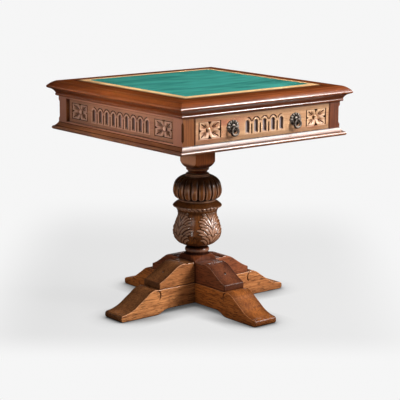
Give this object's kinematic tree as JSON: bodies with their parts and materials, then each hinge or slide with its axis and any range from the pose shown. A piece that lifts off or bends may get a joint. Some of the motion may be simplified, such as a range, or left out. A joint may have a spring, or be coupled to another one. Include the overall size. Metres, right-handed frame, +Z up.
{
  "type": "square pedestal games table with two drawers",
  "caption": "Square carved oak games table with a green baize field, opposite frieze drawers with ring pulls, and a cup-and-cover pedestal on a cross of scrolled feet.",
  "frame": {"origin": "on the floor under the column's axis, the centre of the table in plan", "axes": "+Z up, -Y towards the front drawer, +X to the right of someone who faces the front drawer"},
  "size_m": [0.7, 0.7, 0.7322],
  "materials": {
    "dark_oak": "stained oak, waxed satin with dark wax in the hollows",
    "carved_oak": "stained oak, lighter, waxed satin with dark wax in the carving",
    "lip_oak": "light tan oak, satin",
    "inner_wood": "plain unstained wood, matt",
    "baize": "napped green wool cloth",
    "aged_bronze": "dark antique cast metal, rubbed bright on the high places",
    "steel": "zinc-plated steel"
  },
  "bodies": {
    "table": {"back_cornice": "dark_oak", "back_foot_bracket": "dark_oak", "back_left_post": "dark_oak", "back_plinth": "dark_oak", "back_right_post": "dark_oak", "back_top_rail": "dark_oak", "baize_mat": "baize", "bottom_board": "inner_wood", "bracket_screws": "steel", "column_base_block": "dark_oak", "column_bearer": "dark_oak", "column_cover": "dark_oak", "column_cup": "dark_oak", "column_head_block": "dark_oak", "drawer_divider": "inner_wood", "drawer_kickers": "inner_wood", "field_lip": "lip_oak", "front_back_foot_bar": "dark_oak", "front_cornice": "dark_oak", "front_foot_bracket": "dark_oak", "front_left_post": "dark_oak", "front_plinth": "dark_oak", "front_right_post": "dark_oak", "front_top_rail": "dark_oak", "left_cornice": "dark_oak", "left_drawer_runner": "inner_wood", "left_foot_bracket": "dark_oak", "left_panel_rails": "dark_oak", "left_plinth": "dark_oak", "left_right_foot_bar": "dark_oak", "left_side_panel": "carved_oak", "left_top_rail": "dark_oak", "mounting_plate": "inner_wood", "mounting_screws": "steel", "playing_board": "inner_wood", "right_cornice": "dark_oak", "right_drawer_runner": "inner_wood", "right_foot_bracket": "dark_oak", "right_panel_rails": "dark_oak", "right_plinth": "dark_oak", "right_side_panel": "carved_oak", "right_top_rail": "dark_oak", "tie_rod": "steel", "tie_rod_nuts": "steel"},
    "front_drawer": {"front_drawer_back": "inner_wood", "front_drawer_bottom": "inner_wood", "front_drawer_front": "carved_oak", "front_drawer_sides": "inner_wood", "front_pull_nuts": "steel", "front_pull_plates": "aged_bronze"},
    "back_drawer": {"back_drawer_back": "inner_wood", "back_drawer_bottom": "inner_wood", "back_drawer_front": "carved_oak", "back_drawer_sides": "inner_wood", "back_pull_nuts": "steel", "back_pull_plates": "aged_bronze"},
    "front_left_ring": {"front_left_pull_ring": "aged_bronze"},
    "front_right_ring": {"front_right_pull_ring": "aged_bronze"},
    "back_left_ring": {"back_left_pull_ring": "aged_bronze"},
    "back_right_ring": {"back_right_pull_ring": "aged_bronze"}
  },
  "joints": [
    {"name": "front_drawer_slide", "type": "slide", "parent": "table", "child": "front_drawer", "axis": [0, -1, 0], "range_m": [0, 0.2]},
    {"name": "front_left_ring_swing", "type": "hinge", "parent": "front_drawer", "child": "front_left_ring", "pos_m": [-0.128, -0.332, 0.6382], "axis": [-1, 0, 0], "range_deg": [0, 85]},
    {"name": "front_right_ring_swing", "type": "hinge", "parent": "front_drawer", "child": "front_right_ring", "pos_m": [0.128, -0.332, 0.6382], "axis": [-1, 0, 0], "range_deg": [0, 85]},
    {"name": "back_drawer_slide", "type": "slide", "parent": "table", "child": "back_drawer", "axis": [0, 1, 0], "range_m": [0, 0.2]},
    {"name": "back_left_ring_swing", "type": "hinge", "parent": "back_drawer", "child": "back_left_ring", "pos_m": [0.128, 0.332, 0.6382], "axis": [1, 0, 0], "range_deg": [0, 85]},
    {"name": "back_right_ring_swing", "type": "hinge", "parent": "back_drawer", "child": "back_right_ring", "pos_m": [-0.128, 0.332, 0.6382], "axis": [1, 0, 0], "range_deg": [0, 85]}
  ]
}
